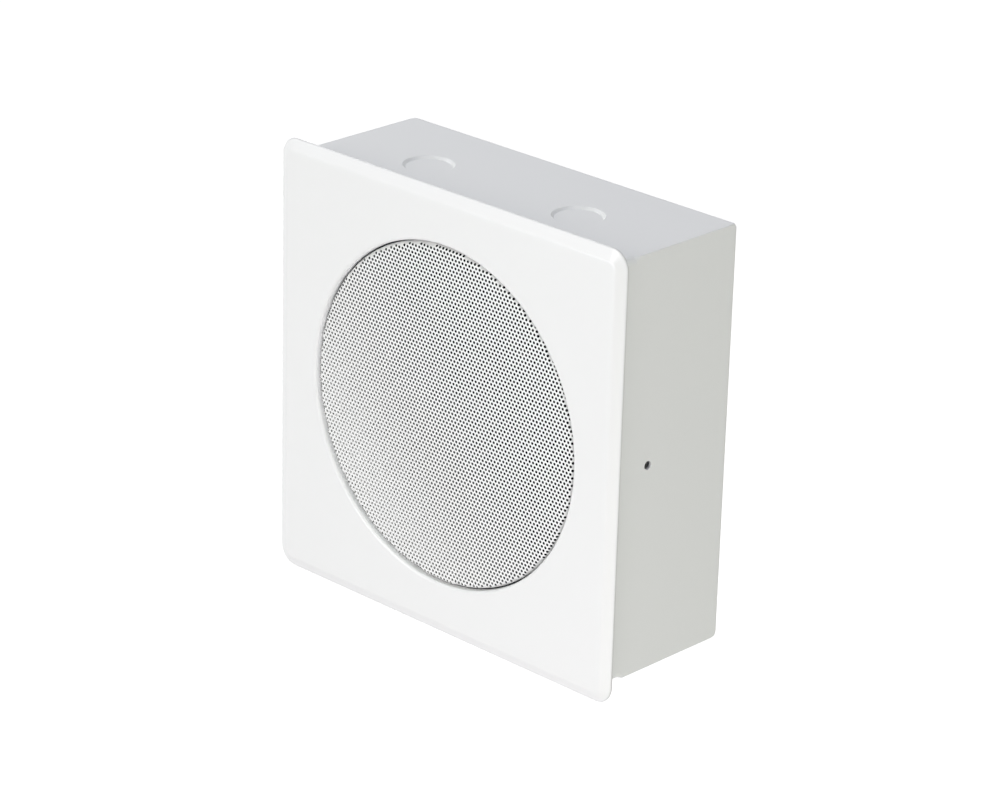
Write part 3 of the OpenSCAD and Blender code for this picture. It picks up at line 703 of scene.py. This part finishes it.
def woven_cloth_and_painted_light(place):
    warp, weft = (place.node("ShaderNodeTexWave", {"bands_direction": axis},
                             {"Vector": place, "Scale": 500}) for axis in "XZ")
    return {
        # Painted light: the black cloth turns light grey towards the grille's lower left.
        "Base Color": painted_light_toward_lower_left(place).mix((0.01, 0.01, 0.015, 1), (0.80, 0.80, 0.81, 1)),
        "Roughness": place.noise(300) * 0.1 + 0.85,
        "Normal": (warp * weft).bump(0.15 * MM),
        "Specular IOR Level": 0.1,
    }


def closed_foam(place):
    cells = place.node("ShaderNodeTexVoronoi", {}, {"Vector": place, "Scale": 1500})
    return {
        "Base Color": cells.mix((0.04, 0.04, 0.04, 1), (0.09, 0.09, 0.09, 1)),
        "Roughness": place.noise(300) * 0.1 + 0.8,
        "Normal": cells.bump(0.2 * MM),
    }


dress(finish("black cloth", woven_cloth_and_painted_light), "grille_cloth")
dress(finish("closed cell foam", closed_foam), "foam_gasket")

# ---- Baffle plate ----
# A square of zinc coated sheet on four spacer sleeves. Its nuts and washers on
# the panel's studs clamp the grille, and the driver is screwed to it.
dress(coated_sheet, "baffle_plate")
dress(zinc, "spacer_sleeves", "stud_washers", "stud_nuts", "driver_screws")

# ---- Driver frame ----
# A pressed steel frame with six windows, painted black, on a gasket of pressed
# card.


def black_paint(place):
    return {
        "Base Color": place.noise(90).mix((0.045, 0.045, 0.05, 1), (0.07, 0.07, 0.075, 1)),
        "Roughness": place.noise(400) * 0.2 + 0.35,
        "Normal": place.noise(700).bump(0.02 * MM),
    }


def pressed_card(place):
    fibres = place.stretched(1, 1, 3).noise(1100, 4)
    return {
        "Base Color": fibres.mix((0.06, 0.06, 0.06, 1), (0.13, 0.125, 0.12, 1)),
        "Roughness": fibres * 0.1 + 0.8,
        "Normal": fibres.bump(0.06 * MM),
    }


dress(finish("black frame paint", black_paint), "driver_frame")
dress(finish("pressed card", pressed_card), "driver_gasket")

# ---- Cone, surround and centring cloth ----
# A black paper cone with a dust cap hangs in a rolled rubber surround, and a
# waved cloth, stiffened with resin, centres it at the back.


def rubber(place):
    return {
        "Base Color": place.noise(200).mix((0.03, 0.03, 0.03, 1), (0.055, 0.055, 0.055, 1)),
        "Roughness": place.noise(500) * 0.15 + 0.5,
        "Normal": place.noise(1500).bump(0.02 * MM),
    }


def paper_pulp(place):
    fibres = place.noise(1300, 5)
    return {
        "Base Color": fibres.mix((0.04, 0.04, 0.045, 1), (0.11, 0.11, 0.115, 1)),
        "Roughness": fibres * 0.15 + 0.75,
        "Normal": fibres.bump(0.1 * MM),
    }


def resin_cloth(place):
    threads = place.stretched(1, 0.2, 1).noise(1600, 3)
    return {
        "Base Color": threads.mix((0.42, 0.26, 0.08, 1), (0.68, 0.47, 0.20, 1)),
        "Roughness": threads * 0.2 + 0.5,
        "Normal": threads.bump(0.08 * MM),
    }


dress(finish("surround rubber", rubber), "surround")
dress(finish("paper pulp", paper_pulp), "cone", "dust_cap")
dress(finish("resin dipped cloth", resin_cloth), "spider")

# ---- Voice coil and motor ----
# A copper winding on a foil former runs in the gap of a ferrite ring magnet
# between a front plate and a back plate with the pole.


def foil(place):
    return {
        "Base Color": place.noise(300).mix((0.78, 0.78, 0.79, 1), (0.88, 0.88, 0.87, 1)),
        "Metallic": 1.0,
        "Roughness": place.noise(800) * 0.15 + 0.25,
    }


def wound_copper(place):
    turns = place.node("ShaderNodeTexWave", {"bands_direction": "Y"},
                       {"Vector": place, "Scale": 600})
    return {
        "Base Color": turns.mix((0.45, 0.18, 0.07, 1), (0.80, 0.42, 0.22, 1)),
        "Metallic": 1.0,
        "Roughness": turns * 0.15 + 0.25,
        "Normal": turns.bump(0.08 * MM),
    }


def ferrite(place):
    grain = place.noise(700, 4)
    return {
        "Base Color": grain.mix((0.06, 0.06, 0.065, 1), (0.13, 0.13, 0.135, 1)),
        "Roughness": grain * 0.2 + 0.5,
        "Normal": grain.bump(0.05 * MM),
    }


dress(finish("former foil", foil), "coil_former")
dress(finish("copper winding", wound_copper), "coil_winding")
dress(finish("ferrite", ferrite), "magnet")
dress(zinc, "front_plate", "pole_yoke")

# ---- Terminal board ----
# A strip of brown laminated board on the driver's frame. Two brass tags stand on
# it, to which the leads are soldered.


def laminate(place):
    layers = place.stretched(1, 14, 1).noise(320, 3)
    return {
        "Base Color": layers.mix((0.30, 0.15, 0.06, 1), (0.46, 0.27, 0.12, 1)),
        "Roughness": layers * 0.15 + 0.4,
        "Normal": layers.bump(0.03 * MM),
    }


dress(finish("laminated board", laminate), "terminal_board")
dress(brass, "terminal_tags")

# ---- Leads ----
# Insulated leads run from the terminal block to the transformer, in red, and
# from there to the driver's tags, in black.


def insulation(first, second):
    def look(place):
        return {
            "Base Color": place.noise(120).mix(first, second),
            "Roughness": place.noise(500) * 0.15 + 0.35,
            "Normal": place.noise(1600).bump(0.02 * MM),
        }
    return look


dress(finish("red insulation", insulation((0.58, 0.06, 0.05, 1), (0.66, 0.10, 0.07, 1))),
      "transformer_leads")
dress(finish("black insulation", insulation((0.03, 0.03, 0.03, 1), (0.06, 0.06, 0.06, 1))),
      "driver_leads")

# ---- Room ----
# A plain pale floor lies well below the speaker, which a wall would carry. The
# floor and the world are white to the camera and in reflections.
FLOOR_Z = -0.62
FLOOR_W = 14
FLOOR_GREY = 0.36
FLOOR_LIFT = 0.98
WORLD_LIGHT = (0.04, 0.04, 0.04, 1)


def seen_directly(tree):
    """1 for rays from the camera and in reflections or glass, otherwise 0."""
    paths = tree.nodes.new("ShaderNodeLightPath")
    camera_ray, glossy_ray, clear_ray = (
        Socket(tree, paths.outputs[f"Is {kind} Ray"])
        for kind in ("Camera", "Glossy", "Transmission"))
    return camera_ray.maths("MAXIMUM", glossy_ray).maths("MAXIMUM", clear_ray)


floor_mesh = bpy.data.meshes.new("floor")
half = FLOOR_W / 2
floor_mesh.from_pydata([(-half, -half, FLOOR_Z), (half, -half, FLOOR_Z),
                        (half, half, FLOOR_Z), (-half, half, FLOOR_Z)], [], [(0, 1, 2, 3)])
floor = bpy.data.objects.new("floor", floor_mesh)
bpy.context.scene.collection.objects.link(floor)
floor_paint = bpy.data.materials.new("pale floor")
floor_paint.use_nodes = True
floor_tree = floor_paint.node_tree
floor_tree.nodes.clear()
seen = seen_directly(floor_tree)
matt = seen.node("ShaderNodeBsdfDiffuse", {}, {"Color": grey(FLOOR_GREY)})
lift = seen.node("ShaderNodeEmission", {}, {"Color": grey(1), "Strength": FLOOR_LIFT})
lifted = seen.node("ShaderNodeAddShader", {}, {0: matt, 1: lift})
floor_look = seen.node("ShaderNodeMixShader", {}, {0: seen, 1: matt, 2: lifted})
seen.node("ShaderNodeOutputMaterial", {}, {"Surface": floor_look})
floor_mesh.materials.append(floor_paint)

world = bpy.data.worlds.new("room")
bpy.context.scene.world = world
world.use_nodes = True
world_tree = world.node_tree
world_tree.nodes.clear()
seen = seen_directly(world_tree)
ambient = seen.node("ShaderNodeBackground", {}, {"Color": WORLD_LIGHT, "Strength": 1.0})
white = seen.node("ShaderNodeBackground", {}, {"Color": grey(1), "Strength": 1.0})
backdrop = seen.node("ShaderNodeMixShader", {}, {0: seen, 1: ambient, 2: white})
seen.node("ShaderNodeOutputWorld", {}, {"Surface": backdrop})

# ---- Lamps ----
# Large soft lamps: two in front on the left, one above the other, one high on the
# left, two overhead, three on the right, and a weak one low in front for the
# light off a table.


def soft_lamp(name, place, size, power, colour):
    lamp = bpy.data.lights.new(name, "AREA")
    lamp.shape = "SQUARE"
    lamp.size = size
    lamp.energy = power
    lamp.color = colour
    holder = bpy.data.objects.new(name, lamp)
    holder.location = place
    holder.rotation_euler = (-Vector(place)).to_track_quat("-Z", "Y").to_euler()
    bpy.context.scene.collection.objects.link(holder)


soft_lamp("upper main lamp", (-0.9, -2.25, 0.9), 1.0, 22.0, (1.0, 0.945, 0.91))
soft_lamp("lower main lamp", (-1.0, -2.2, -0.3), 1.0, 19.8, (0.925, 0.97, 1.0))
soft_lamp("left lamp", (-1.5, -0.1, 1.8), 0.9, 19.0, (0.94, 0.94, 1.0))
soft_lamp("overhead lamp", (0.9, 0.0, 2.3), 1.2, 16.8, (0.90, 0.86, 1.0))
soft_lamp("front overhead lamp", (0.0, -1.3, 2.0), 1.0, 6.4, (0.80, 1.0, 0.84))
soft_lamp("right lamp", (2.3, 0.0, -0.1), 1.0, 8.4, (0.95, 1.0, 0.71))
soft_lamp("front right lamp", (2.1, -1.0, 0.3), 1.0, 11.0, (0.93, 0.93, 0.96))
soft_lamp("rear lamp", (1.8, 1.3, 0.3), 1.0, 3.0, (1.0, 1.0, 1.0))
soft_lamp("low lamp", (0.5, -0.6, -0.45), 0.5, 2.4, (1.0, 0.96, 0.98))
